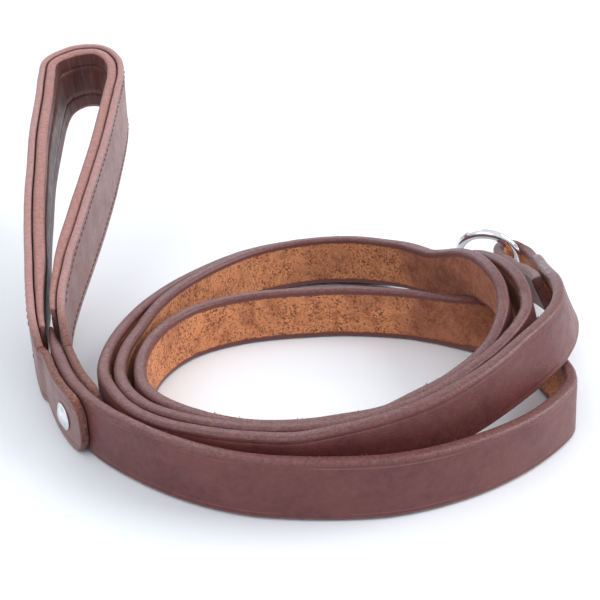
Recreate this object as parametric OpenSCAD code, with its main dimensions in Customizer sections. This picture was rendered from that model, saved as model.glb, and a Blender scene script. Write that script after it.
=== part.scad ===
// Leather training leash, lying coiled on its edge on a flat floor.
// Origin: middle of the whole leash on the floor. X to the right, Y away, Z up.
// Millimetres.

/* [Strap] */
// height of the lead strap, standing on its edge
strap_width = 20; // [16:0.5:26]
// leather thickness of the lead strap
strap_thick = 4.0; // [3:0.1:4.4]
// how much of each corner is worn off
edge_wear = 0.8; // [0.3:0.1:1.2]

/* [Handle] */
// thickness of the strap that makes the hand loop
loop_thick = 2.8; // [2:0.1:3.4]
// thickness of the padded lining inside the loop
pad_thick = 4.4; // [3.5:0.1:5.2]
// width of the loop at its far end
loop_width = 30; // [24:0.5:33]
// thickness of the stitch thread
thread = 0.8; // [0.5:0.1:1]

/* [Rivet] */
// diameter of the two rivet caps
cap_diameter = 9; // [7:0.5:12]
// height of the cap that shows
cap_height = 1.6; // [1:0.1:2.5]
// height of the flat base on the inner side
base_height = 0.7; // [0.5:0.1:0.9]
// diameter of the post
post_diameter = 3.4; // [2.5:0.1:5]

/* [Ring] */
// outer diameter of the steel ring
ring_outer = 28; // [26:0.5:30]
// wire thickness of the ring
ring_wire = 4; // [3:0.1:4.4]

/* [Hidden] */
$fn = 48;
worn = min(edge_wear, strap_thick * 0.3);
// clearance between layers that are riveted or sewn together
fit = 0.1;
// clearance between curved leather faces that lie on each other
lap = 0.4;
// clearance between moving or loose neighbours
play = 0.3;
// distance of a stitch row from the edge of the loop strap
seam = 3;
ring_mid = (ring_outer - ring_wire) / 2;

// middle of the whole leash, in the numbers of the routes below
middle = [-0.4, 3.7];

// Route of the lead strap, from the hand loop to the ring.
// Columns: x, y, height of the lower edge, lean in x, lean in y, width out of 20.
LEAD = [
    [-79, -38, 0, 0, 0, 20], [-75.5, -48, 0, 0, 0, 20], [-70, -61, 0, 0, 0, 20],
    [-65, -71, 0, 0, 0, 20], [-59, -80, 0, 0, 0, 20], [-52, -88, 0, 0, 0, 20],
    [-43, -95.5, 0, 0, 0, 20], [-32, -103, 0, 0, 0, 20], [-20, -109, 0, 0, 0, 20],
    [-7, -113, 0, 0, 0, 20], [7, -114.5, 0, 0, 0, 20], [21, -114.5, 0, 0, 0, 20],
    [34, -113, 0, 0, 0, 20], [48, -108.5, 0, 0, 0, 20], [63, -101, 0, 0, 0, 20],
    [78, -90, 0, 0, 0, 20], [91.5, -76, 0, -0.08, 0.02, 20], [94.5, -67, 0, -0.1, 0, 20],
    [94, -58, 0, -0.1, 0, 20], [91, -48, 0, 0.1, 0.05, 20], [86, -38, 0, 0.6, 0.36, 20],
    [79, -27.5, 0, 0.8, 0.42, 20], [67, -18, 0, 0.12, 0.12, 20], [55, -12, 0, 0, 0, 20],
    [45, -9, 0, 0, 0, 20], [26, -7, 0, 0, 0, 20], [7, -8.5, 0, 0, 0, 20],
    [-12, -12.5, 0, 0, 0, 20], [-27, -20, 0, 0, 0, 20], [-36, -29, 0, 0, 0, 20],
    [-42, -41, 0, 0, 0, 20], [-44.5, -54, 0, 0, 0, 20], [-44, -66, 0, 0, 0, 20],
    [-41, -76, 0, 0, 0, 20], [-33.7, -84.6, 0, 0, 0, 20], [-21.8, -92, 0, 0, 0, 20],
    [-8, -97, 0.5, 0, 0, 20], [7, -98.6, 1.5, 0, 0, 20], [21, -97.6, 3, 0, 0, 20],
    [34, -94.6, 4.2, 0, 0, 20], [45, -89.8, 6.2, 0, 0.1, 20], [56.5, -82, 8.2, -0.05, 0.1, 20],
    [69, -71, 11.8, -0.15, 0.1, 20], [76.5, -57.5, 16, -0.25, 0.05, 20], [79, -44, 18.8, -0.3, 0, 20],
    [77, -30, 20.9, -0.3, 0, 20], [73, -13.5, 18.2, -0.3, 0, 20], [63.5, 5, 10.5, -0.25, -0.1, 20],
    [47, 24, 6, -0.05, -0.1, 20], [28, 32, 4, 0, 0, 20], [7, 31, 3, 0, 0, 20],
    [-14, 20.5, 2.5, 0, 0, 20], [-32, 0.5, 2, 0, 0, 20], [-43, -18, 1, 0, 0, 20],
    [-48.5, -38, 0, 0, 0, 20], [-51, -54, 0, 0, 0, 20], [-50, -68, 0, 0, 0, 20],
    [-46, -78, 0, 0, 0, 20], [-38.8, -86.5, 0, 0, 0, 20], [-28, -94, 1, 0, 0, 20],
    [-14, -100, 2, 0, 0, 20], [0, -103, 3, 0, 0, 20], [14, -103.1, 4, 0, 0, 20],
    [25, -101.8, 5.5, 0, 0, 20], [36, -99, 7.3, 0, 0, 20], [47, -94, 9.2, 0, 0.05, 20],
    [59, -85.6, 11.6, 0, 0.1, 20], [72, -75, 14.8, -0.12, 0.1, 20], [82, -62.5, 18.2, -0.25, 0.05, 20],
    [86, -48.5, 19.2, -0.3, 0, 20], [84.5, -33, 20.8, -0.3, 0, 20], [79.5, -11, 16.6, -0.3, 0, 20],
    [69, 11, 6, -0.2, -0.1, 20], [50, 32, 1.5, 0, 0, 20], [28, 39, 0, 0, 0, 20],
    [5, 37, 0, 0, 0, 20], [-17, 25.5, 0, 0, 0, 20], [-36, 4, 0, 0, 0, 20],
    [-48.5, -18, 0, 0, 0, 20], [-54.5, -38, 0, 0, 0, 20], [-56.5, -54, 0, 0, 0, 20],
    [-55.5, -67, 0, 0, 0, 20], [-50.9, -77.6, 0, 0, 0, 20], [-44.4, -87.1, 0, 0, 0, 20],
    [-34.3, -96.3, 1, 0, 0, 20], [-20, -103, 2, 0, 0, 20], [-6, -107, 3, 0, 0, 20],
    [8, -108.5, 4, 0, 0, 20], [22, -107.3, 6.5, 0, 0, 20], [36, -104, 9, 0, 0, 20],
    [49, -98, 11.5, 0, 0, 20], [62, -89.5, 14, 0, 0.05, 20], [75, -79, 16.5, -0.1, 0.1, 20],
    [87, -68, 19.5, -0.2, 0.1, 20], [95.5, -55, 20.8, -0.35, 0, 20], [101, -40, 20, -0.5, 0, 20],
    [104.5, -24, 16.5, -0.6, 0, 20], [107, -8, 12, -0.6, 0, 20], [108, 8, 8.5, -0.55, -0.05, 19],
    [107.5, 20, 6.5, -0.5, -0.1, 16], [105.8, 31, 7.3, -0.42, -0.2, 12], [104, 38, 8, -0.35, -0.28, 10.5],
    [99.8, 42.3, 8.6, -0.32, -0.32, 10], [95, 41.8, 8.8, -0.3, -0.34, 10], [92, 37, 8.8, -0.3, -0.32, 10.5],
    [91.6, 29.5, 8.5, -0.34, -0.25, 11.5], [93.8, 21, 8.2, -0.4, -0.15, 14], [97.2, 11, 8, -0.48, -0.1, 16],
    [100.5, 1, 9, -0.55, -0.05, 18], [102, -9, 10.7, -0.6, 0, 19], [101, -19, 13.3, -0.6, 0, 19],
    [98.9, -28, 15.2, -0.57, 0, 19],
];

// Free part of the hand loop, clockwise from the outer tab to the inner tab: same columns.
LOOP = [
    [-79.6, -51.5, 0, 0, 0, 20], [-84.6, -39, 3, 0, 0, 21],
    [-88.5, -25, 7, 0, 0, 22.5], [-91.8, -10.6, 11, 0, 0, 24], [-95, 4, 15, 0, 0, 25.5],
    [-98, 20, 20, 0, 0, 27], [-100.5, 36, 25, 0, 0, 28], [-104, 60, 33, 0, 0, 29],
    [-106.2, 86, 41.2, 0, 0, 30], [-106.4, 103, 48.3, 0, 0, 30], [-104, 113.5, 52.6, 0, -0.1, 30],
    [-97.6, 121, 55.6, 0.1, -0.25, 30], [-88.3, 122.4, 56, 0.1, -0.3, 30],
    [-80, 117.3, 54, 0, -0.2, 30], [-75, 108, 50, 0, -0.1, 30], [-73, 92, 43.4, 0, 0, 30],
    [-73, 60, 32, 0, 0, 29], [-74, 36, 24, 0, 0, 28], [-75, 20, 19, 0, 0, 27],
    [-75.8, 4, 15, 0, 0, 25.5], [-76.6, -10.5, 11, 0, 0, 24], [-76.4, -26, 7, 0, 0, 22.5],
    [-74.4, -38, 3, 0, 0, 21], [-70.8, -49.5, 0, 0, 0, 20],
];

// Smooth curve through four rows.
function blend4(a, b, c, d, t) =
    0.5 * (2 * b + (c - a) * t + (2 * a - 5 * b + 4 * c - d) * t * t
    + (3 * b - a - 3 * c + d) * t * t * t);

// Rows of a route between two rows, n steps to each span.
function rows(L, from, to, n) = [
    for (i = [from : to - 1], k = [0 : n - 1])
        blend4(L[max(i - 1, 0)], L[i], L[i + 1], L[min(i + 2, len(L) - 1)], k / n),
    L[to]
];

function unit(v) = v / norm(v);
function place(r) = [r[0] - middle[0], r[1] - middle[1], max(r[2], 0)];
function travel(R, i) =
    unit(place(R[min(i + 1, len(R) - 1)]) - place(R[max(i - 1, 0)]));
function upright(r, t) =
    let (u = [r[3], r[4], 1]) unit(u - (u * t) * t);
function across(R, i) =
    let (t = travel(R, i)) cross(t, upright(R[i], t));
function wide(r) = r[5] * strap_width / 20;

// The hand loop widens from the strap's width to loop_width at its far end.
function flared(w) =
    20 + (w - 20) * (loop_width * 20 / strap_width - 20) / 10;

// A tab of the hand loop lies along the lead strap, on one side of it.
function beside(R, i, off) =
    let (p = place(R[i]) + across(R, i) * off)
    [p[0] + middle[0], p[1] + middle[1], p[2], 0, 0, 20];

lead_rows = rows(LEAD, 0, len(LEAD) - 1, 2);
tab_off = strap_thick / 2 + lap + loop_thick / 2;
side_rows = rows(LEAD, 0, 6, 4);
loop_path = concat(
    [for (i = [18, 15, 12, 9, 6]) beside(side_rows, i, tab_off)],
    [for (r = LOOP) [r[0], r[1], r[2], r[3], r[4], flared(r[5])]],
    [for (i = [6, 9, 12, 15, 17]) beside(side_rows, i, -tab_off)]
);
loop_rows = rows(loop_path, 0, len(loop_path) - 1, 4);
// the lining stops short of the tip of the lead strap
pad_rows = [for (i = [24 : len(loop_rows) - 28]) loop_rows[i]];
// half rows of the lead strap where the rivet and the slot sit
rivet_row = 7;
slot_row = 213;
stack = strap_thick / 2 + lap + loop_thick;
ring_spot = [85.7 - middle[0], 38 - middle[1], ring_outer / 2 * 0.95];

// Edge position: counted from the lower edge, or from the upper edge if negative or zero.
function low_at(v, w) = v < 0 ? w + v : v;
function high_at(v, w) = v <= 0 ? w + v : v;

// One ring of eight corners: h half thickness, c worn corner, off sideways shift.
function ring8(R, i, h, c, off, lo, hi) =
    let (
        t = travel(R, i),
        d = upright(R[i], t),
        n = cross(t, d),
        side = place(R[i]) + n * off,
        a = low_at(lo, wide(R[i])),
        b = high_at(hi, wide(R[i])),
        dip = side[2] + a * d[2] - (h - c / 2) * abs(n[2]),
        p = side + [0, 0, max(0, -dip)]
    )
    [for (q = [[-h, a + c], [-h, b - c], [-h + c, b], [h - c, b],
        [h, b - c], [h, a + c], [h - c, a], [-h + c, a]])
        p + n * q[0] + d * q[1]];

// Share of the full thickness at ring i of m: thin at an end, full after ramp rings.
function taper(i, m, start, stop, ramp) =
    min(1, start + (1 - start) * i / ramp, stop + (1 - stop) * (m - 1 - i) / ramp);

// A strap swept along its route, closed at both ends; seat is the side face it lies on.
module sweep(R, thick, c, lo = 0, hi = 0, seat = undef, start = 1, stop = 1, ramp = 4) {
    m = len(R);
    pts = [for (i = [0 : m - 1])
        let (
            h = thick / 2 * taper(i, m, start, stop, ramp),
            off = is_undef(seat) ? 0 : seat > 0 ? seat + h : seat - h
        )
        for (q = ring8(R, i, h, min(c, h * 0.6), off, lo, hi)) q];
    sides = [for (i = [0 : m - 2], k = [0 : 7])
        let (a = i * 8 + k, b = i * 8 + (k + 1) % 8)
        [a, b, b + 8, a + 8]];
    near = [for (k = [7 : -1 : 0]) k];
    far = [for (k = [0 : 7]) (m - 1) * 8 + k];
    polyhedron(points = pts, faces = concat(sides, [near], [far]), convexity = 12);
}

// Frame at one row of a route: X along, Y across, Z up the strap, at a share of its width.
module at_row(R, i, up) {
    t = travel(R, i);
    d = upright(R[i], t);
    n = cross(t, d);
    p = place(R[i]) + d * wide(R[i]) * up;
    multmatrix([
        [t[0], n[0], d[0], p[0]],
        [t[1], n[1], d[1], p[1]],
        [t[2], n[2], d[2], p[2]],
        [0, 0, 0, 1]
    ])
        children();
}

module rivet_hole() {
    at_row(lead_rows, rivet_row, 0.5)
        rotate([90, 0, 0])
            cylinder(h = 2 * stack + 20, d = post_diameter + 2 * fit, center = true);
}

module slot_cutter() {
    at_row(lead_rows, slot_row, 0.5)
        rotate([90, 0, 0])
            linear_extrude(strap_thick + 2, center = true)
                hull() {
                    translate([-5, 0])
                        circle(d = 5);
                    translate([5, 0])
                        circle(d = 5);
                }
}

// Rounds the two corners of a tab that ends at a row; side is 1 or -1 along the route.
module tab_corners(R, i, side) {
    w = wide(R[i]);
    r = w * 0.34;
    at_row(R, i, 0)
        for (up = [0, 1])
            translate([0, 0, up * w])
                mirror([0, 0, up])
                    rotate([90, 0, 0])
                        linear_extrude(loop_thick * 3, center = true)
                            difference() {
                                translate([side > 0 ? -2 : -r, -2])
                                    square([r + 2, r + 2]);
                                translate([side * r, r])
                                    circle(r = r);
                            }
}

module lead_strap() {
    color([0.42, 0.22, 0.18])
        difference() {
            sweep(lead_rows, strap_thick, worn, start = 0.3, ramp = 3);
            rivet_hole();
            slot_cutter();
        }
}

module handle_strap() {
    color([0.5, 0.27, 0.23])
        difference() {
            sweep(loop_rows, loop_thick, worn);
            rivet_hole();
            tab_corners(loop_rows, 0, 1);
            tab_corners(loop_rows, len(loop_rows) - 1, -1);
        }
}

module handle_lining() {
    color([0.36, 0.16, 0.13])
        sweep(pad_rows, pad_thick, pad_thick * 0.28, lo = 0.6, hi = -0.6,
            seat = loop_thick / 2 + lap, start = 0.45, stop = 0.45, ramp = 6);
}

// One row of stitches: the thread lies along the outer face of the loop strap.
module stitch_row(lo, hi) {
    color([0.35, 0.18, 0.15])
        sweep(pad_rows, thread / 2, thread / 8, lo = lo, hi = hi,
            seat = -loop_thick / 2 - lap / 2);
}

module stitches_upper() {
    stitch_row(-seam - thread / 2, -seam + thread / 2);
}

module stitches_lower() {
    stitch_row(seam - thread / 2, seam + thread / 2);
}

// Low dome of height h, flat side on Z = 0.
module dome(h) {
    r = cap_diameter / 2;
    big = (r * r + h * h) / (2 * h);
    intersection() {
        translate([0, 0, h - big])
            sphere(r = big);
        cylinder(h = h * 2, r = r);
    }
}

module rivet_frame() {
    at_row(lead_rows, rivet_row, 0.5)
        rotate([-90, 0, 0])
            children();
}

module rivet_cap() {
    color([0.75, 0.75, 0.77])
        rivet_frame() {
            translate([0, 0, stack + fit])
                dome(cap_height);
            translate([0, 0, -stack - play])
                cylinder(h = 2 * stack + play + fit + 0.2, d = post_diameter);
        }
}

module rivet_base() {
    color([0.75, 0.75, 0.77])
        rivet_frame()
            mirror([0, 0, 1])
                translate([0, 0, stack + play])
                    dome(base_height);
}

module ring() {
    color([0.85, 0.86, 0.88])
        translate(ring_spot)
            rotate([0, 68, 70])
                rotate_extrude()
                    translate([ring_mid, 0])
                        circle(d = ring_wire);
}

lead_strap();
handle_strap();
handle_lining();
stitches_upper();
stitches_lower();
rivet_cap();
rivet_base();
ring();
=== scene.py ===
"""Leather training leash: a strap coiled on its edge, a padded hand loop, a rivet and a ring."""

import math
import random

import bmesh
import bpy
from mathutils import Matrix, Vector, noise


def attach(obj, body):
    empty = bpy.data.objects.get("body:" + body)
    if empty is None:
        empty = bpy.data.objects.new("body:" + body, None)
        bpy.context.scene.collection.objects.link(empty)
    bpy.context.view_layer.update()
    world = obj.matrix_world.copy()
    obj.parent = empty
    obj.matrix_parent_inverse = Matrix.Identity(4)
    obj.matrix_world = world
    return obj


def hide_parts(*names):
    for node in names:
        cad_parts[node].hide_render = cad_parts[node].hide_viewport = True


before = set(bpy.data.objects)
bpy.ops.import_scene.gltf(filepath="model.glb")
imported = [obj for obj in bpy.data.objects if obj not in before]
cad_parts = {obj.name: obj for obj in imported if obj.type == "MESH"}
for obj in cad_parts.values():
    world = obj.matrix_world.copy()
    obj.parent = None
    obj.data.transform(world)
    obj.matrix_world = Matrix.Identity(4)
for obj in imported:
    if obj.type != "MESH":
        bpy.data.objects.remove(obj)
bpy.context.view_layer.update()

# ---------------------------------------------------------------- camera
scene = bpy.context.scene
camera_data = bpy.data.cameras.new("camera")
camera = bpy.data.objects.new("camera", camera_data)
scene.collection.objects.link(camera)
camera.location = (0.0074, -0.3307, 0.1742)
camera.rotation_euler = (math.radians(63.5), 0, 0)
camera_data.lens = 57
camera_data.sensor_width = 36
camera_data.clip_start = 0.01
scene.camera = camera
scene.view_settings.view_transform = "Standard"

# ---------------------------------------------------------------- sizes, millimetres
MM = 0.001
MIDDLE = (-0.4, 3.7)
STRAP_WIDTH = 20
STRAP_THICK = 4.0
LOOP_THICK = 2.8
PAD_THICK = 4.4
LAP = 0.4
SEAM = 3
RIVET_ROW = 3.5
SLOT_ROW = 106.5
CAP_RADIUS = 4.5
CAP_HEIGHT = 1.6
BASE_HEIGHT = 0.7
RING_MID = 12
RING_WIRE = 2
RING_SPOT = (86.1, 34.3, 13.3)
RING_TURN = (0, 68, 70)
TAB_CORNER = 6.8

# Routes: x, y, height of the lower edge, lean in x, lean in y, width.
LEAD = [
    (-79, -38, 0, 0, 0, 20), (-75.5, -48, 0, 0, 0, 20), (-70, -61, 0, 0, 0, 20),
    (-65, -71, 0, 0, 0, 20), (-59, -80, 0, 0, 0, 20), (-52, -88, 0, 0, 0, 20),
    (-43, -95.5, 0, 0, 0, 20), (-32, -103, 0, 0, 0, 20), (-20, -109, 0, 0, 0, 20),
    (-7, -113, 0, 0, 0, 20), (7, -114.5, 0, 0, 0, 20), (21, -114.5, 0, 0, 0, 20),
    (34, -113, 0, 0, 0, 20), (48, -108.5, 0, 0, 0, 20), (63, -101, 0, 0, 0, 20),
    (78, -90, 0, 0, 0, 20), (91.5, -76, 0, -0.08, 0.02, 20), (94.5, -67, 0, -0.1, 0, 20),
    (94, -58, 0, -0.1, 0, 20), (91, -48, 0, 0.1, 0.05, 20), (86, -38, 0, 0.6, 0.36, 20),
    (79, -27.5, 0, 0.8, 0.42, 20), (67, -18, 0, 0.12, 0.12, 20), (55, -12, 0, 0, 0, 20),
    (45, -9, 0, 0, 0, 20), (26, -7, 0, 0, 0, 20), (7, -8.5, 0, 0, 0, 20),
    (-12, -12.5, 0, 0, 0, 20), (-27, -20, 0, 0, 0, 20), (-36, -29, 0, 0, 0, 20),
    (-42, -41, 0, 0, 0, 20), (-44.5, -54, 0, 0, 0, 20), (-44, -66, 0, 0, 0, 20),
    (-41, -76, 0, 0, 0, 20), (-33.7, -84.6, 0, 0, 0, 20), (-21.8, -92, 0, 0, 0, 20),
    (-8, -97, 0.5, 0, 0, 20), (7, -98.6, 1.5, 0, 0, 20), (21, -97.6, 3, 0, 0, 20),
    (34, -94.6, 4.2, 0, 0, 20), (45, -89.8, 6.2, 0, 0.1, 20), (56.5, -82, 8.2, -0.05, 0.1, 20),
    (69, -71, 11.8, -0.15, 0.1, 20), (76.5, -57.5, 16, -0.25, 0.05, 20), (79, -44, 18.8, -0.3, 0, 20),
    (77, -30, 20.9, -0.3, 0, 20), (73, -13.5, 18.2, -0.3, 0, 20), (63.5, 5, 10.5, -0.25, -0.1, 20),
    (47, 24, 6, -0.05, -0.1, 20), (28, 32, 4, 0, 0, 20), (7, 31, 3, 0, 0, 20),
    (-14, 20.5, 2.5, 0, 0, 20), (-32, 0.5, 2, 0, 0, 20), (-43, -18, 1, 0, 0, 20),
    (-48.5, -38, 0, 0, 0, 20), (-51, -54, 0, 0, 0, 20), (-50, -68, 0, 0, 0, 20),
    (-46, -78, 0, 0, 0, 20), (-38.8, -86.5, 0, 0, 0, 20), (-28, -94, 1, 0, 0, 20),
    (-14, -100, 2, 0, 0, 20), (0, -103, 3, 0, 0, 20), (14, -103.1, 4, 0, 0, 20),
    (25, -101.8, 5.5, 0, 0, 20), (36, -99, 7.3, 0, 0, 20), (47, -94, 9.2, 0, 0.05, 20),
    (59, -85.6, 11.6, 0, 0.1, 20), (72, -75, 14.8, -0.12, 0.1, 20), (82, -62.5, 18.2, -0.25, 0.05, 20),
    (86, -48.5, 19.2, -0.3, 0, 20), (84.5, -33, 20.8, -0.3, 0, 20), (79.5, -11, 16.6, -0.3, 0, 20),
    (69, 11, 6, -0.2, -0.1, 20), (50, 32, 1.5, 0, 0, 20), (28, 39, 0, 0, 0, 20),
    (5, 37, 0, 0, 0, 20), (-17, 25.5, 0, 0, 0, 20), (-36, 4, 0, 0, 0, 20),
    (-48.5, -18, 0, 0, 0, 20), (-54.5, -38, 0, 0, 0, 20), (-56.5, -54, 0, 0, 0, 20),
    (-55.5, -67, 0, 0, 0, 20), (-50.9, -77.6, 0, 0, 0, 20), (-44.4, -87.1, 0, 0, 0, 20),
    (-34.3, -96.3, 1, 0, 0, 20), (-20, -103, 2, 0, 0, 20), (-6, -107, 3, 0, 0, 20),
    (8, -108.5, 4, 0, 0, 20), (22, -107.3, 6.5, 0, 0, 20), (36, -104, 9, 0, 0, 20),
    (49, -98, 11.5, 0, 0, 20), (62, -89.5, 14, 0, 0.05, 20), (75, -79, 16.5, -0.1, 0.1, 20),
    (87, -68, 19.5, -0.2, 0.1, 20), (95.5, -55, 20.8, -0.35, 0, 20), (101, -40, 20, -0.5, 0, 20),
    (104.5, -24, 16.5, -0.6, 0, 20), (107, -8, 12, -0.6, 0, 20), (108, 8, 8.5, -0.55, -0.05, 19),
    (107.5, 20, 6.5, -0.5, -0.1, 16), (105.8, 31, 7.3, -0.42, -0.2, 12), (104, 38, 8, -0.35, -0.28, 10.5),
    (99.8, 42.3, 8.6, -0.32, -0.32, 10), (95, 41.8, 8.8, -0.3, -0.34, 10), (92, 37, 8.8, -0.3, -0.32, 10.5),
    (91.6, 29.5, 8.5, -0.34, -0.25, 11.5), (93.8, 21, 8.2, -0.4, -0.15, 14), (97.2, 11, 8, -0.48, -0.1, 16),
    (100.5, 1, 9, -0.55, -0.05, 18), (102, -9, 10.7, -0.6, 0, 19), (101, -19, 13.3, -0.6, 0, 19),
    (98.9, -28, 15.2, -0.57, 0, 19),
]

LOOP = [
    (-79.6, -51.5, 0, 0, 0, 20), (-84.6, -39, 3, 0, 0, 21),
    (-88.5, -25, 7, 0, 0, 22.5), (-91.8, -10.6, 11, 0, 0, 24), (-95, 4, 15, 0, 0, 25.5),
    (-98, 20, 20, 0, 0, 27), (-100.5, 36, 25, 0, 0, 28), (-104, 60, 33, 0, 0, 29),
    (-106.2, 86, 41.2, 0, 0, 30), (-106.4, 103, 48.3, 0, 0, 30), (-104, 113.5, 52.6, 0, -0.1, 30),
    (-97.6, 121, 55.6, 0.1, -0.25, 30), (-88.3, 122.4, 56, 0.1, -0.3, 30),
    (-80, 117.3, 54, 0, -0.2, 30), (-75, 108, 50, 0, -0.1, 30), (-73, 92, 43.4, 0, 0, 30),
    (-73, 60, 32, 0, 0, 29), (-74, 36, 24, 0, 0, 28), (-75, 20, 19, 0, 0, 27),
    (-75.8, 4, 15, 0, 0, 25.5), (-76.6, -10.5, 11, 0, 0, 24), (-76.4, -26, 7, 0, 0, 22.5),
    (-74.4, -38, 3, 0, 0, 21), (-70.8, -49.5, 0, 0, 0, 20),
]


# ---------------------------------------------------------------- routes
def blend4(a, b, c, d, t):
    """Point on the smooth curve through four rows."""
    return tuple(
        0.5
        * (
            2 * q
            + (r - p) * t
            + (2 * p - 5 * q + 4 * r - s) * t * t
            + (3 * q - p - 3 * r + s) * t ** 3
        )
        for p, q, r, s in zip(a, b, c, d)
    )


def fine(route, steps):
    last = len(route) - 1
    found = []
    for i in range(last):
        four = route[max(i - 1, 0)], route[i], route[i + 1], route[min(i + 2, last)]
        found += [blend4(*four, k / steps) for k in range(steps)]
    return found + [tuple(route[last])]


class Route:
    """A strap's route, measured by distance along it in millimetres."""

    STEPS = 16

    def __init__(self, rows):
        self.rows = fine(rows, self.STEPS)
        self.points = [
            Vector((r[0] - MIDDLE[0], r[1] - MIDDLE[1], max(r[2], 0))) for r in self.rows
        ]
        self.along = [0.0]
        for a, b in zip(self.points, self.points[1:]):
            self.along.append(self.along[-1] + (b - a).length)
        self.length = self.along[-1]

    def at_row(self, row):
        return self.along[round(row * self.STEPS)]

    def span(self, s):
        s = min(max(s, 0), self.length)
        low, high = 0, len(self.along) - 1
        while high - low > 1:
            mid = (low + high) // 2
            if self.along[mid] <= s:
                low = mid
            else:
                high = mid
        part = (s - self.along[low]) / max(self.along[high] - self.along[low], 1e-9)
        return low, high, part

    def point(self, s):
        low, high, part = self.span(s)
        return self.points[low].lerp(self.points[high], part)

    def frame(self, s):
        """Point, direction, sideways and upward axes, and width."""
        low, high, part = self.span(s)
        row = [a + (b - a) * part for a, b in zip(self.rows[low], self.rows[high])]
        t = (self.point(s + 2) - self.point(s - 2)).normalized()
        lean = Vector((row[3], row[4], 1))
        d = (lean - lean.dot(t) * t).normalized()
        return self.point(s), t, t.cross(d), d, row[5]


def beside(route, row, shift):
    point, _, n, _, _ = route.frame(route.at_row(row))
    point = point + n * shift
    return point[0] + MIDDLE[0], point[1] + MIDDLE[1], point[2], 0, 0, STRAP_WIDTH


lead_route = Route(LEAD)
OUTER_TAB = [4.5, 3.75, 3, 2.25, 1.5]
INNER_TAB = [1.5, 2.25, 3, 3.75, 4.25]
tab_shift = STRAP_THICK / 2 + LAP + LOOP_THICK / 2
loop_rows = (
    [beside(lead_route, row, tab_shift) for row in OUTER_TAB]
    + LOOP
    + [beside(lead_route, row, -tab_shift) for row in INNER_TAB]
)
loop_route = Route(loop_rows)
PAD_FROM = loop_route.at_row(6)
PAD_TO = loop_route.at_row(len(loop_rows) - 7) - 9


# ---------------------------------------------------------------- meshes
def link(name, verts, faces, uvs=None):
    """Makes an object from vertices in millimetres, with two UV maps given per corner."""
    mesh = bpy.data.meshes.new(name)
    mesh.from_pydata([Vector(v) * MM for v in verts], [], faces)
    if uvs:
        for layer, which in (("strap", 0), ("across", 1)):
            data = mesh.uv_layers.new(name=layer).data
            k = 0
            for corners in uvs:
                for corner in corners:
                    data[k].uv = corner[which]
                    k += 1
    mesh.polygons.foreach_set("use_smooth", [True] * len(mesh.polygons))
    mesh.update()
    mesh.validate()
    made = bpy.data.objects.new(name, mesh)
    scene.collection.objects.link(made)
    return made


def outline(h, low, high, r, marks, corner=4):
    """Closed section of a strap: sideways, upward, zone. Zones: 0-1 outer face, 1-2 upper edge,
    2-3 inner face, 3-4 lower edge. marks are distances from an edge, in millimetres."""
    r = min(r, h * 0.95)
    span = high - low
    room = min(1, (span / 2 - r) / (marks[-1] + 1.5 - r))
    near = [r + (m - r) * room for m in marks]
    inner = 7
    first, last = near[-1], span - near[-1]
    levels = [r] + near + [first + (last - first) * k / inner for k in range(1, inner)]
    levels += [span - m for m in reversed(near)] + [span - r]
    pts = [(h, low + y, y / span) for y in levels]
    for k in range(1, corner + 1):
        a = math.pi / 2 * k / corner
        pts.append((h - r + r * math.cos(a), high - r + r * math.sin(a), 1 + 0.4 * k / corner))
    for k in range(corner + 1):
        a = math.pi / 2 * (1 + k / corner)
        pts.append((-h + r + r * math.cos(a), high - r + r * math.sin(a), 1.6 + 0.4 * k / corner))
    pts[-1] = (-h, high - r, 2 + r / span)
    pts += [(-h, low + y, 2 + (span - y) / span) for y in reversed(levels[:-1])]
    for k in range(1, corner + 1):
        a = math.pi / 2 * (2 + k / corner)
        pts.append((-h + r + r * math.cos(a), low + r + r * math.sin(a), 3 + 0.4 * k / corner))
    for k in range(corner):
        a = math.pi / 2 * (3 + k / corner)
        pts.append((h - r + r * math.cos(a), low + r + r * math.sin(a), 3.6 + 0.4 * k / corner))
    return pts


def stations(start, stop, step):
    """Distances along a route, closer together near both ends."""
    close = [0, 0.15, 0.4, 0.8, 1.3, 2, 2.8, 3.7, 4.8, 6, 7.2, 8.5]
    count = max(2, round((stop - start - 2 * close[-1]) / step))
    low, high = start + close[-1], stop - close[-1]
    middle = [low + (high - low) * k / count for k in range(1, count)]
    return [start + c for c in close] + middle + [stop - c for c in reversed(close)]


def end_inset(gap):
    """How far the section shrinks near an end, so that the end's rim is rounded."""
    r = 0.5
    return r - math.sqrt(max(0, r * r - (r - min(gap, r)) ** 2))


def tab_inset(gap):
    """How far the section shrinks in from each edge so that a tab ends in two round corners."""
    r = TAB_CORNER
    return r - math.sqrt(max(0, r * r - (r - min(gap, r)) ** 2))


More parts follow.
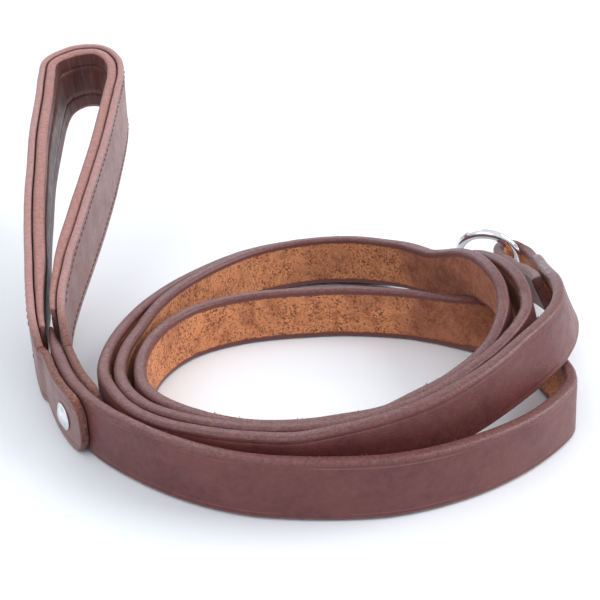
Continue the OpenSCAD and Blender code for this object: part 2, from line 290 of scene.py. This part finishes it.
def strap(name, route, start, stop, step, shape):
    """Sweeps a section along a route. shape(s, width) gives the outline in the frame at s."""
    verts, uvs_of, rings = [], [], []
    for s in stations(start, stop, step):
        point, _, n, d, width = route.frame(s)
        section = shape(s, width)
        dip = min(point[2] + n[2] * q[0] + d[2] * q[1] for q in section)
        lift = Vector((0, 0, max(0, 0.02 - dip)))
        ring = []
        for side, up, zone in section:
            v = point + n * side + d * up + lift
            ring.append(len(verts))
            verts.append(v)
            uvs_of.append(((s * MM, zone), (up * MM, width * MM)))
        rings.append(ring)
    faces, uvs = [], []
    count = len(rings[0])
    for a, b in zip(rings, rings[1:]):
        for k in range(count):
            m = (k + 1) % count
            corners = [a[k], b[k], b[m], a[m]]
            faces.append(corners)
            found = [uvs_of[c] for c in corners]
            if m == 0:
                found[2] = ((found[2][0][0], 4.0), found[2][1])
                found[3] = ((found[3][0][0], 4.0), found[3][1])
            uvs.append(found)
    for ring, at_start in ((rings[0], True), (rings[-1], False)):
        # each end is closed by a strip of quads from its outer to its inner side
        for k in range(count // 2 - 1):
            corners = [ring[k], ring[k + 1], ring[count - 2 - k], ring[count - 1 - k]]
            if not at_start:
                corners.reverse()
            faces.append(corners)
            uvs.append([((uvs_of[c][0][0], 1.5), uvs_of[c][1]) for c in corners])
    return link(name, verts, faces, uvs)


def close_up(made):
    """Joins doubled vertices, fills any hole and turns every face outward."""
    work = bmesh.new()
    work.from_mesh(made.data)
    bmesh.ops.remove_doubles(work, verts=work.verts, dist=1e-7)
    bmesh.ops.holes_fill(work, edges=[e for e in work.edges if e.is_boundary], sides=0)
    bmesh.ops.recalc_face_normals(work, faces=work.faces)
    work.to_mesh(made.data)
    work.free()


# Round of each strap's corners, and where its sections have extra points, from an edge.
LEAD_ROUND = 1.25
HANDLE_ROUND = 1.05
PAD_ROUND = 1.5
LEAD_MARKS = [1.5, 1.7, 1.95, 2.2, 2.45, 2.7, 3.4]
PAD_MARKS = [1.8, 2.5, 3.4, 4.6, 5.6, 6.2, 6.6, 7.0, 7.6, 8.6]
# Line pressed along both edges of the lead: distance from the edge, half width, depth.
LEAD_LINE = (2.1, 0.45, 0.12)
# Length over which the lead's tip thins to a wedge.
TIP = 16
# Seams of the lining, as shares of its width.
SEAM_LOW, SEAM_HIGH = 0.27, 0.74


def groove(up, width, place, half, depth):
    """How deep a line pressed along both edges is at a height."""
    gap = min(up, width - up)
    return depth * max(0, 1 - ((gap - place) / half) ** 2)


def lead_shape(s, width):
    h = STRAP_THICK / 2 * min(1, 0.3 + 0.7 * min(1, s / TIP) ** 0.8)
    inset = end_inset(min(s, lead_route.length - s))
    wave = 0.16 * noise.noise(Vector((s / 23, 1.3, 0))) + 0.08 * noise.noise(Vector((s / 5, 7.1, 0)))
    low, high = inset, width - inset + wave
    found = []
    for side, up, zone in outline(h - inset * 0.8, low, high, LEAD_ROUND, LEAD_MARKS):
        if zone < 1:
            side -= groove(up, width, *LEAD_LINE)
        rough = 0.1 if 2 < zone < 3 else 0.05
        side += rough * noise.noise(Vector((s / 6, up / 5, math.floor(zone))))
        found.append((side, up, zone))
    return found


def handle_shape(s, width):
    gap = min(s, loop_route.length - s)
    h = LOOP_THICK / 2
    inset = end_inset(gap)
    corner = tab_inset(gap)
    wave = 0.12 * noise.noise(Vector((s / 15, 4.3, 0))) + 0.1 * noise.noise(Vector((s / 3, 9.1, 0)))
    found = []
    low, high = inset + corner, width - inset - corner + wave
    for side, up, zone in outline(h - inset * 0.6, low, high, HANDLE_ROUND, LEAD_MARKS):
        if 2 < zone < 3 and gap > TAB_CORNER:
            side += groove(up, width, SEAM, 0.5, 0.22)
        side += 0.05 * noise.noise(Vector((s / 5, up / 5, math.floor(zone))))
        found.append((side, up, zone))
    return found


def pad_shape(s, width):
    """The lining: thin along its edges, with a crowned channel between two seams."""
    gap = min(s - PAD_FROM, PAD_TO - s)
    full = min(1, 0.45 + 0.55 * min(1, gap / 36))
    h = PAD_THICK / 2 * full
    inset = end_inset(gap)
    seat = LOOP_THICK / 2 + LAP
    bend = math.exp(-(((s - (PAD_FROM + PAD_TO) / 2) / 34) ** 2))
    found = []
    low, high = 0.6 + inset, width - 0.6 - inset
    for side, up, zone in outline(h - inset * 0.5, low, high, PAD_ROUND, PAD_MARKS):
        shift = 0
        if zone < 1:
            share = up / width
            seam = min(abs(share - SEAM_LOW), abs(share - SEAM_HIGH)) * width
            shift -= 0.75 * full * math.exp(-((seam / 0.55) ** 2))
            if SEAM_LOW < share < SEAM_HIGH:
                shift += 0.12 * math.sin(math.pi * (share - SEAM_LOW) / (SEAM_HIGH - SEAM_LOW))
            else:
                shift -= 0.35 * full
            # cross wrinkles where the loop turns
            fold = noise.noise(Vector((s / 1.9, up / 16, 3.1)))
            fold += 0.5 * noise.noise(Vector((s / 0.9, up / 9, 5.2)))
            shift += (0.1 + 0.5 * bend) * min(0, fold - 0.05)
        found.append((seat + h + side + shift, up, zone))
    return found


def add_stitch(verts, faces, centre, along, side, up, length, wide, high, parts=6, ends=4):
    """One stitch: a rounded thread that dips into the leather at both ends."""
    start = len(verts)
    for i in range(ends + 1):
        a = math.pi * i / ends
        x = -math.cos(a) * length / 2
        size = max(math.sin(a), 0.25) ** 0.6
        for k in range(parts):
            b = 2 * math.pi * k / parts
            v = centre + along * x + up * math.cos(b) * wide / 2 * size
            v = v + side * (math.sin(b) * high / 2 * size - (1 - math.sin(a)) * high * 0.35)
            verts.append(v)
    for i in range(ends):
        for k in range(parts):
            m = (k + 1) % parts
            low, high_row = start + i * parts, start + (i + 1) * parts
            faces.append([low + k, low + m, high_row + m, high_row + k])
    faces.append([start + k for k in reversed(range(parts))])
    faces.append([start + ends * parts + k for k in range(parts)])


def stitches(name, from_top):
    pitch = 3.3
    verts, faces = [], []
    count = int((PAD_TO - PAD_FROM - 6) / pitch)
    for i in range(count):
        s = PAD_FROM + 3 + (i + 0.5) * pitch
        point, t, n, d, width = loop_route.frame(s)
        up = width - SEAM if from_top else SEAM
        centre = point + d * up - n * (LOOP_THICK / 2 - 0.02)
        tilt = (t + d * 0.1).normalized()
        add_stitch(verts, faces, centre, tilt, -n, d, pitch * 0.8, 0.75, 0.6)
    return link(name, verts, faces)


def lathe(profile, parts=64):
    """Turns a profile of (radius, height) about Z and closes both ends."""
    verts, faces = [], []
    for r, z in profile:
        for k in range(parts):
            a = 2 * math.pi * k / parts
            verts.append((r * math.cos(a), r * math.sin(a), z))
    for i in range(len(profile) - 1):
        for k in range(parts):
            m = (k + 1) % parts
            faces.append([i * parts + k, i * parts + m, (i + 1) * parts + m, (i + 1) * parts + k])
    faces.append([k for k in reversed(range(parts))])
    faces.append([(len(profile) - 1) * parts + k for k in range(parts)])
    return verts, faces


def dome_profile(radius, height, foot):
    """A low polished dome with a rounded rim."""
    rim = 0.35
    big = (radius * radius + height * height) / (2 * height)
    found = [
        (0.6 * radius, foot),
        (radius - rim * 0.5, foot),
        (radius - 0.05, foot + 0.12),
        (radius, foot + 0.28),
    ]
    for k in range(0, 13):
        r = (radius - 0.12) * (1 - k / 12)
        z = height - big + math.sqrt(big * big - r * r)
        found.append((max(r, 0.02), foot + max(z, 0.3)))
    return found


def rivet_part(name, profile, way):
    point, t, n, d, width = lead_route.frame(lead_route.at_row(RIVET_ROW))
    centre = point + d * width / 2
    verts, faces = lathe(profile)
    turned = [centre + t * x * way + d * y + n * z * way for x, y, z in verts]
    made = link(name, turned, faces)
    close_up(made)
    return made


def ring_piece():
    turn = Matrix.Rotation(math.radians(RING_TURN[2]), 3, "Z")
    turn = turn @ Matrix.Rotation(math.radians(RING_TURN[1]), 3, "Y")
    verts, faces = [], []
    around, across = 128, 32
    for i in range(around):
        a = 2 * math.pi * i / around
        # the butt weld shows as a slight swelling
        weld = 0.05 * math.exp(-(((i - 40) / 1.6) ** 2))
        for k in range(across):
            b = 2 * math.pi * k / across
            r = RING_MID + (RING_WIRE + weld) * math.cos(b)
            v = Vector((r * math.cos(a), r * math.sin(a), (RING_WIRE + weld) * math.sin(b)))
            verts.append(turn @ v + Vector(RING_SPOT))
    for i in range(around):
        for k in range(across):
            m, j = (k + 1) % across, (i + 1) % around
            faces.append([i * across + k, j * across + k, j * across + m, i * across + m])
    made = link("ring_round", verts, faces)
    close_up(made)
    return made


def fibres(name, spots):
    """Loose ends of leather: short bent threads standing on a raw edge."""
    verts, faces = [], []
    for root, along, out, length, thick in spots:
        side = along.cross(out).normalized()
        middle = root + out * length * 0.55 + along * length * 0.2
        tip = root + out * length * 0.75 + along * length * 0.75
        start = len(verts)
        for centre, size in ((root - out * 0.15, 1), (middle, 0.8), (tip, 0.25)):
            for k in range(4):
                a = math.pi / 2 * k
                verts.append(centre + (along * math.cos(a) + side * math.sin(a)) * thick * size / 2)
        for ring in (0, 4):
            for k in range(4):
                m = (k + 1) % 4
                near, far = start + ring, start + ring + 4
                faces.append([near + k, near + m, far + m, far + k])
        faces.append([start + k for k in (3, 2, 1, 0)])
        faces.append([start + 8 + k for k in range(4)])
    made = link(name, verts, faces)
    close_up(made)
    return made


def lead_fibre_spots():
    """Clusters along the inner upper edge of the lead."""
    draw = random.Random(11)
    spots = []
    for _ in range(90):
        s0 = draw.uniform(24, lead_route.length - 150)
        for _ in range(draw.randint(2, 7)):
            s = s0 + draw.gauss(0, 1.6)
            point, t, n, d, width = lead_route.frame(s)
            root = point - n * (STRAP_THICK / 2 - draw.uniform(0.1, 0.5))
            root = root + d * (width - draw.uniform(0.2, 0.9))
            out = -n * draw.uniform(0.1, 0.6) + d * draw.uniform(0.2, 0.8)
            out = (out + t * draw.uniform(-0.5, 0.5)).normalized()
            along = t * draw.choice((-1, 1))
            spots.append((root, along, out, draw.uniform(0.25, 0.75), draw.uniform(0.12, 0.26)))
    return spots


def tab_fibre_spots():
    """Spread over the raw cut edges of both tabs, most of them along the upper edge."""
    draw = random.Random(12)
    spots = []
    for _ in range(420):
        gap = draw.uniform(0.2, 42)
        s = gap if draw.random() < 0.6 else loop_route.length - gap
        point, t, n, d, width = loop_route.frame(s)
        corner = tab_inset(gap)
        high = draw.random() < 0.75
        up = width - corner if high else corner
        root = point + n * draw.uniform(-1.2, 1.2) + d * (up - (0.15 if high else -0.15))
        away = d if high else -d
        out = (away + t * draw.uniform(-0.7, 0.7) + n * draw.uniform(-0.6, 0.6)).normalized()
        if not high and root[2] < 1:
            continue
        along = t * draw.choice((-1, 1))
        spots.append((root, along, out, draw.uniform(0.15, 0.5), draw.uniform(0.12, 0.24)))
    return spots


def slot_cutter():
    """A long hole's cutter, whose walls take the colour of raw leather."""
    point, t, n, d, width = lead_route.frame(lead_route.at_row(SLOT_ROW))
    centre = point + d * width / 2
    parts = 16
    loop = []
    for k in range(2 * parts):
        a = math.pi * 2 * (k + 0.5) / (2 * parts)
        x = 2.5 * math.cos(a) + (5 if math.cos(a) > 0 else -5)
        loop.append((x, 2.5 * math.sin(a)))
    verts = [centre + t * x + d * y + n * z for z in (-4, 4) for x, y in loop]
    count = len(loop)
    faces = [[k, (k + 1) % count, count + (k + 1) % count, count + k] for k in range(count)]
    faces += [list(reversed(range(count))), list(range(count, 2 * count))]
    uvs = [[((0.3, 2.5), (0.01, 0.02))] * len(f) for f in faces]
    made = link("slot_cut", verts, faces, uvs)
    close_up(made)
    return made


# ---------------------------------------------------------------- materials
class Nodes:
    """Short names for building one material."""

    def __init__(self, name):
        self.material = bpy.data.materials.new(name)
        self.material.use_nodes = True
        self.tree = self.material.node_tree
        self.tree.nodes.clear()
        self.out = self.tree.nodes.new("ShaderNodeOutputMaterial")
        self.shader = self.tree.nodes.new("ShaderNodeBsdfPrincipled")
        self.tree.links.new(self.shader.outputs[0], self.out.inputs[0])
        self.place = self.tree.nodes.new("ShaderNodeTexCoord").outputs["Object"]

    def give(self, socket, value):
        if isinstance(value, bpy.types.NodeSocket):
            self.tree.links.new(value, socket)
        elif isinstance(value, (tuple, list)) and len(value) == 3 and socket.type == "RGBA":
            socket.default_value = (*value, 1)
        else:
            socket.default_value = value

    def math(self, kind, a, b=0.0, clamp=False):
        node = self.tree.nodes.new("ShaderNodeMath")
        node.operation = kind
        node.use_clamp = clamp
        self.give(node.inputs[0], a)
        self.give(node.inputs[1], b)
        return node.outputs[0]

    def ramp(self, value, low, high, to_low=0.0, to_high=1.0):
        """Smooth step from to_low to to_high as value goes from low to high."""
        node = self.tree.nodes.new("ShaderNodeMapRange")
        node.interpolation_type = "SMOOTHSTEP"
        for i, v in enumerate((value, low, high, to_low, to_high)):
            self.give(node.inputs[i], v)
        return node.outputs[0]

    def mix(self, share, a, b):
        node = self.tree.nodes.new("ShaderNodeMix")
        node.data_type = "RGBA"
        self.give(node.inputs[0], share)
        self.give(node.inputs[6], a)
        self.give(node.inputs[7], b)
        return node.outputs[2]

    def noise(self, scale, detail=3.0, rough=0.55, where=None, warp=0.0):
        node = self.tree.nodes.new("ShaderNodeTexNoise")
        self.give(node.inputs["Vector"], where or self.place)
        node.inputs["Scale"].default_value = scale
        node.inputs["Detail"].default_value = detail
        node.inputs["Roughness"].default_value = rough
        node.inputs["Distortion"].default_value = warp
        return node.outputs["Fac"]

    def cells(self, scale, where=None):
        node = self.tree.nodes.new("ShaderNodeTexVoronoi")
        self.give(node.inputs["Vector"], where or self.place)
        node.inputs["Scale"].default_value = scale
        return node.outputs["Distance"]

    def map(self, layer):
        node = self.tree.nodes.new("ShaderNodeUVMap")
        node.uv_map = layer
        parts = self.tree.nodes.new("ShaderNodeSeparateXYZ")
        self.tree.links.new(node.outputs[0], parts.inputs[0])
        return parts.outputs[0], parts.outputs[1]

    def vector(self, x, y, z=0.0):
        node = self.tree.nodes.new("ShaderNodeCombineXYZ")
        for i, v in enumerate((x, y, z)):
            self.give(node.inputs[i], v)
        return node.outputs[0]

    def band(self, value, low, high, soft):
        rise = self.ramp(value, low - soft, low + soft)
        fall = self.ramp(value, high - soft, high + soft, 1.0, 0.0)
        return self.math("MULTIPLY", rise, fall)

    def bump(self, height, strength, distance):
        node = self.tree.nodes.new("ShaderNodeBump")
        self.give(node.inputs["Strength"], strength)
        node.inputs["Distance"].default_value = distance
        self.give(node.inputs["Height"], height)
        self.tree.links.new(node.outputs[0], self.shader.inputs["Normal"])

    def set(self, **values):
        for name, value in values.items():
            self.give(self.shader.inputs[name.replace("_", " ")], value)


def to_edge(m):
    """Distance in metres from the nearer edge of the strap."""
    up, width = m.map("across")
    return m.math("MINIMUM", up, m.math("SUBTRACT", width, up))


def grain_of(m, dark, mid, light):
    """Waxed grain: broad cloudiness and fine pores."""
    cloud = m.ramp(m.noise(38, 4, 0.6, warp=0.4), 0.32, 0.7)
    small = m.ramp(m.noise(420, 4, 0.65), 0.3, 0.72)
    tone = m.mix(cloud, dark, mid)
    return m.mix(m.math("MULTIPLY", small, 0.45), tone, light)


def strap_leather():
    m = Nodes("strap_leather")
    u, zone = m.map("strap")
    gap = to_edge(m)
    flesh = m.band(zone, 2.02, 2.98, 0.02)
    edge = m.math("ADD", m.band(zone, 1.02, 1.98, 0.06), m.ramp(zone, 2.98, 3.06), clamp=True)
    # grain side
    grain = grain_of(m, (0.1, 0.024, 0.025), (0.152, 0.04, 0.036), (0.2, 0.062, 0.052))
    line = m.band(gap, 0.0021, 0.0023, 0.0001)
    shown = m.math("MULTIPLY", line, m.ramp(m.noise(45, 2), 0.4, 0.6, 0.1, 0.8))
    grain = m.mix(shown, grain, (0.3, 0.12, 0.09))
    # burnished edge, darker in its corners
    rub = m.ramp(m.noise(900, 5, 0.75), 0.3, 0.75)
    rim = m.mix(rub, (0.115, 0.038, 0.037), (0.22, 0.09, 0.082))
    # flesh side: brushed orange suede between smooth margins
    fur_map = m.vector(m.math("MULTIPLY", u, 1.0), m.math("MULTIPLY", zone, 0.006))
    fur = m.noise(900, 5, 0.75, where=fur_map, warp=0.6)
    mottle = m.ramp(m.noise(160, 5, 0.75, warp=0.8), 0.28, 0.62)
    suede = m.mix(mottle, (0.4, 0.13, 0.052), (0.68, 0.27, 0.115))
    suede = m.mix(m.ramp(fur, 0.42, 0.72, 0.0, 0.5), suede, (0.82, 0.4, 0.2))
    patches = m.ramp(m.noise(130, 4, 0.7, warp=0.6), 0.35, 0.65, 0.02, -0.035)
    flecks = m.math("ADD", m.noise(1150, 4, 0.75, warp=0.4), patches)
    specks = m.ramp(flecks, 0.4, 0.47, 0.85, 0.0)
    suede = m.mix(specks, suede, (0.085, 0.022, 0.012))
    smooth = m.ramp(m.noise(30, 3, 0.6, warp=1.0), 0.53, 0.6)
    # the flesh side on the coil's right bend faces away from the key light and is painted darker there as
    # painted shade; random smooth glazed patches take the same dark colour
    x = m.tree.nodes.new("ShaderNodeSeparateXYZ")
    m.tree.links.new(m.place, x.inputs[0])
    right_bend_shade = m.ramp(m.math("ADD", x.outputs[0], m.math("MULTIPLY", m.noise(90, 4), 0.04)), 0.062, 0.074)
    right_bend_shade = m.math("MULTIPLY", right_bend_shade, m.ramp(x.outputs[0], 0.088, 0.092, 1.0, 0.0))
    glazed_and_shaded_suede = m.mix(mottle, (0.17, 0.05, 0.03), (0.33, 0.115, 0.065))
    glaze_and_shade_share = m.math("MAXIMUM", m.math("MULTIPLY", smooth, 0.3), m.math("MULTIPLY", right_bend_shade, 0.75))
    suede = m.mix(glaze_and_shade_share, suede, glazed_and_shaded_suede)
    ragged = m.math("ADD", gap, m.math("MULTIPLY", m.math("SUBTRACT", m.noise(500, 4), 0.5), 0.0012))
    margin = m.ramp(ragged, 0.0019, 0.0025, 1.0, 0.0)
    inside = m.mix(margin, suede, (0.15, 0.047, 0.038))
    colour = m.mix(edge, m.mix(flesh, grain, inside), rim)
    raw = m.math("MULTIPLY", flesh, m.ramp(ragged, 0.0019, 0.0025))
    pores = m.cells(1500)
    fine = m.noise(1600, 3, 0.7)
    pits = m.math("MULTIPLY", m.ramp(pores, 0.0, 0.5), 0.35)
    height = m.math("ADD", pits, m.math("MULTIPLY", fine, 0.35))
    height = m.math("ADD", height, m.math("MULTIPLY", raw, m.math("MULTIPLY", fur, 2.2)))
    burr = m.math("MULTIPLY", m.noise(1100, 4, 0.7), 0.7)
    height = m.math("ADD", height, m.math("MULTIPLY", edge, burr))
    m.bump(height, 0.55, 0.00035)
    rough = m.ramp(m.noise(180, 4), 0.3, 0.7, 0.4, 0.52)
    rough = m.math("SUBTRACT", rough, m.math("MULTIPLY", edge, 0.14))
    rough = m.math("ADD", rough, m.math("MULTIPLY", raw, 0.4), clamp=True)
    m.set(Base_Color=colour, Roughness=rough)
    m.shader.inputs["Specular IOR Level"].default_value = 0.42
    m.shader.inputs["Sheen Weight"].default_value = 0.04
    m.shader.inputs["Sheen Roughness"].default_value = 0.4
    return m.material


def handle_leather():
    m = Nodes("handle_leather")
    u, zone = m.map("strap")
    gap = to_edge(m)
    edge = m.math("ADD", m.band(zone, 1.02, 1.98, 0.06), m.ramp(zone, 2.98, 3.06), clamp=True)
    grain = grain_of(m, (0.17, 0.07, 0.063), (0.23, 0.105, 0.093), (0.32, 0.165, 0.15))
    seam = m.band(gap, 0.0026, 0.0034, 0.0003)
    grain = m.mix(m.math("MULTIPLY", seam, 0.55), grain, (0.07, 0.022, 0.02))
    # the edge colours are painted lighter than the leather's own, as painted light on the raised loop's
    # edges; the patchiness within them is burnish
    rub = m.ramp(m.noise(900, 5, 0.75), 0.3, 0.75)
    rim = m.mix(rub, (0.34, 0.17, 0.155), (0.5, 0.275, 0.25))
    # the tabs keep the raw, fibrous cut
    total = loop_route.length * MM
    first_tab = m.ramp(u, 0.04, 0.062, 1.0, 0.0)
    tabs = m.math("ADD", first_tab, m.ramp(u, total - 0.062, total - 0.04), clamp=True)
    fibre = m.ramp(m.noise(1100, 5, 0.8, warp=0.8), 0.4, 0.62)
    raw = m.mix(fibre, (0.13, 0.036, 0.025), (0.37, 0.145, 0.105))
    colour = m.mix(edge, grain, m.mix(tabs, rim, raw))
    pores = m.ramp(m.cells(1400), 0.0, 0.5)
    fine = m.math("MULTIPLY", m.noise(1500, 3, 0.7), 0.35)
    height = m.math("ADD", m.math("MULTIPLY", pores, 0.35), fine)
    cut = m.math("MULTIPLY", m.math("MULTIPLY", edge, tabs), m.math("MULTIPLY", fibre, 2.4))
    height = m.math("ADD", height, cut)
    height = m.math("ADD", height, m.math("MULTIPLY", edge, m.noise(600, 4, 0.7)))
    m.bump(height, 0.55, 0.00035)
    m.set(Base_Color=colour, Roughness=m.ramp(m.noise(170, 4), 0.3, 0.7, 0.4, 0.54))
    m.shader.inputs["Specular IOR Level"].default_value = 0.5
    m.shader.inputs["Sheen Weight"].default_value = 0.1
    return m.material


def lining_leather():
    m = Nodes("lining_leather")
    u, zone = m.map("strap")
    gap = to_edge(m)
    edge = m.math("ADD", m.band(zone, 1.02, 1.98, 0.06), m.ramp(zone, 2.98, 3.06), clamp=True)
    cloud = m.ramp(m.noise(60, 4, 0.6, warp=0.6), 0.3, 0.7)
    face = m.mix(cloud, (0.07, 0.018, 0.014), (0.13, 0.037, 0.027))
    crease_map = m.vector(m.math("MULTIPLY", u, 1.0), m.math("MULTIPLY", zone, 0.003))
    creases = m.noise(520, 4, 0.6, where=crease_map, warp=0.5)
    face = m.mix(m.ramp(creases, 0.48, 0.68, 0.0, 0.6), face, (0.21, 0.072, 0.052))
    # the edge colours are painted lighter than the leather's own, as painted light on the raised loop's
    # edges; the patchiness within them is burnish
    rub = m.ramp(m.noise(850, 5, 0.75), 0.3, 0.75)
    rim = m.mix(rub, (0.31, 0.13, 0.11), (0.48, 0.235, 0.205))
    m.set(Base_Color=m.mix(edge, face, rim), Roughness=m.ramp(m.noise(200, 4), 0.3, 0.7, 0.42, 0.6))
    fine = m.math("MULTIPLY", m.noise(1500, 3, 0.7), 0.35)
    height = m.math("ADD", m.math("MULTIPLY", creases, 0.9), fine)
    height = m.math("ADD", height, m.math("MULTIPLY", edge, m.noise(650, 4, 0.7)))
    m.bump(height, 0.6, 0.0004)
    m.shader.inputs["Sheen Weight"].default_value = 0.15
    return m.material


def fibre_material():
    m = Nodes("loose_fibre")
    shade = m.ramp(m.noise(800, 3, 0.6), 0.3, 0.7)
    m.set(Base_Color=m.mix(shade, (0.17, 0.055, 0.04), (0.42, 0.17, 0.12)), Roughness=0.8)
    m.bump(m.noise(2500, 2, 0.5), 0.4, 0.0001)
    return m.material


def thread_material():
    m = Nodes("waxed_thread")
    twist = m.noise(2400, 2, 0.5)
    colour = m.mix(m.ramp(twist, 0.35, 0.65), (0.075, 0.022, 0.02), (0.16, 0.055, 0.048))
    m.set(Base_Color=colour, Roughness=0.6)
    m.bump(twist, 0.5, 0.0002)
    return m.material


def steel(name, low, high, dents):
    m = Nodes(name)
    smear = m.ramp(m.noise(300, 4, 0.6), 0.35, 0.7)
    m.set(Base_Color=m.mix(smear, (0.74, 0.745, 0.76), (0.86, 0.865, 0.88)), Metallic=1.0)
    m.set(Roughness=m.ramp(m.noise(420, 5, 0.7), 0.3, 0.7, low, high))
    m.bump(m.noise(240, 2, 0.5), dents, 0.0004)
    return m.material


def floor_material():
    m = Nodes("floor")
    m.set(Base_Color=m.mix(m.noise(3, 2), (0.885, 0.912, 0.94), (0.895, 0.92, 0.948)), Roughness=0.85)
    m.shader.inputs["Specular IOR Level"].default_value = 0.1
    return m.material


# ---------------------------------------------------------------- the leash
STEP = 2.0
lead = strap("lead", lead_route, 0, lead_route.length, STEP, lead_shape)
close_up(lead)
cut = slot_cutter()
hole = lead.modifiers.new("slot", "BOOLEAN")
hole.operation = "DIFFERENCE"
hole.solver = "EXACT"
hole.object = cut
bpy.context.view_layer.update()
depsgraph = bpy.context.evaluated_depsgraph_get()
drilled = bpy.data.meshes.new_from_object(lead.evaluated_get(depsgraph))
lead.modifiers.clear()
lead.data = drilled
bpy.data.objects.remove(cut)

handle = strap("handle", loop_route, 0, loop_route.length, 1.5, handle_shape)
close_up(handle)
lining = strap("lining", loop_route, PAD_FROM, PAD_TO, 0.8, pad_shape)
close_up(lining)
upper = stitches("stitching_upper", True)
lower = stitches("stitching_lower", False)
stack = STRAP_THICK / 2 + LAP + LOOP_THICK
cap = rivet_part("rivet_dome", dome_profile(CAP_RADIUS, CAP_HEIGHT, stack + 0.1), 1)
base = rivet_part("rivet_back", dome_profile(CAP_RADIUS, BASE_HEIGHT, stack + 0.3), -1)
ring = ring_piece()

lead_fibres = fibres("lead_fibres", lead_fibre_spots())
tab_fibres = fibres("tab_fibres", tab_fibre_spots())

leather = strap_leather()
rivet_steel = steel("rivet_steel", 0.16, 0.3, 0.25)
for piece, material, slot, body, node in (
    (lead, leather, "strap_leather", "leash", "lead_strap"),
    (handle, handle_leather(), "handle_leather", "leash", "handle_strap"),
    (lining, lining_leather(), "lining_leather", "leash", "handle_lining"),
    (upper, thread_material(), "thread", "leash", "stitches_upper"),
    (lower, thread_material(), "thread", "leash", "stitches_lower"),
    (cap, rivet_steel, "rivet_steel", "leash", "rivet_cap"),
    (base, rivet_steel, "rivet_steel", "leash", "rivet_base"),
    (ring, steel("ring_steel", 0.05, 0.12, 0.12), "ring_steel", "ring", "ring"),
):
    piece.data.materials.clear()
    piece.data.materials.append(material)
    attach(piece, body)
    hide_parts(node)
fluff = fibre_material()
for piece, slot in ((lead_fibres, "strap_leather"), (tab_fibres, "handle_leather")):
    piece.data.materials.append(fluff)
    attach(piece, "leash")

# ---------------------------------------------------------------- floor and light
bpy.ops.mesh.primitive_plane_add(size=12, location=(0, 0, -0.0002))
floor = bpy.context.object
floor.name = "floor"
floor.data.materials.append(floor_material())

world = bpy.data.worlds.new("studio")
scene.world = world
world.use_nodes = True
sky = world.node_tree
sky.nodes.clear()
world_out = sky.nodes.new("ShaderNodeOutputWorld")
background = sky.nodes.new("ShaderNodeBackground")
where = sky.nodes.new("ShaderNodeTexCoord")
split = sky.nodes.new("ShaderNodeSeparateXYZ")
tone = sky.nodes.new("ShaderNodeValToRGB")
sky.links.new(where.outputs["Generated"], split.inputs[0])
sky.links.new(split.outputs[2], tone.inputs[0])
for at, colour in (
    (0.0, (0.62, 0.68, 0.78)),
    (0.2, (0.72, 0.78, 0.88)),
    (0.25, (0.3, 0.33, 0.4)),
    (0.31, (0.3, 0.33, 0.4)),
    (0.36, (0.86, 0.91, 0.98)),
    (0.8, (1, 1.02, 1.06)),
):
    stop = tone.color_ramp.elements.new(at)
    stop.color = (*colour, 1)
tone.color_ramp.elements.remove(tone.color_ramp.elements[0])
tone.color_ramp.elements.remove(tone.color_ramp.elements[-1])
sky.links.new(tone.outputs[0], background.inputs[0])
background.inputs[1].default_value = 0.9
sky.links.new(background.outputs[0], world_out.inputs[0])


def softbox(name, place, aim, size, power, colour):
    data = bpy.data.lights.new(name, "AREA")
    data.shape = "RECTANGLE"
    data.size, data.size_y = size
    data.energy = power
    data.color = colour
    made = bpy.data.objects.new(name, data)
    scene.collection.objects.link(made)
    made.location = place
    made.rotation_euler = (Vector(aim) - Vector(place)).to_track_quat("-Z", "Y").to_euler()


softbox("key", (0.84, 0.02, 0.58), (0.02, 0, 0.02), (0.6, 0.7), 6.4, (1, 0.985, 0.97))
softbox("rim", (-0.2, 0.85, 0.5), (-0.02, 0, 0.02), (0.6, 0.25), 1.3, (0.93, 0.97, 1))
softbox("fill", (-0.5, -0.6, 0.9), (0, 0, 0.02), (1.0, 0.9), 2.6, (0.95, 0.98, 1))
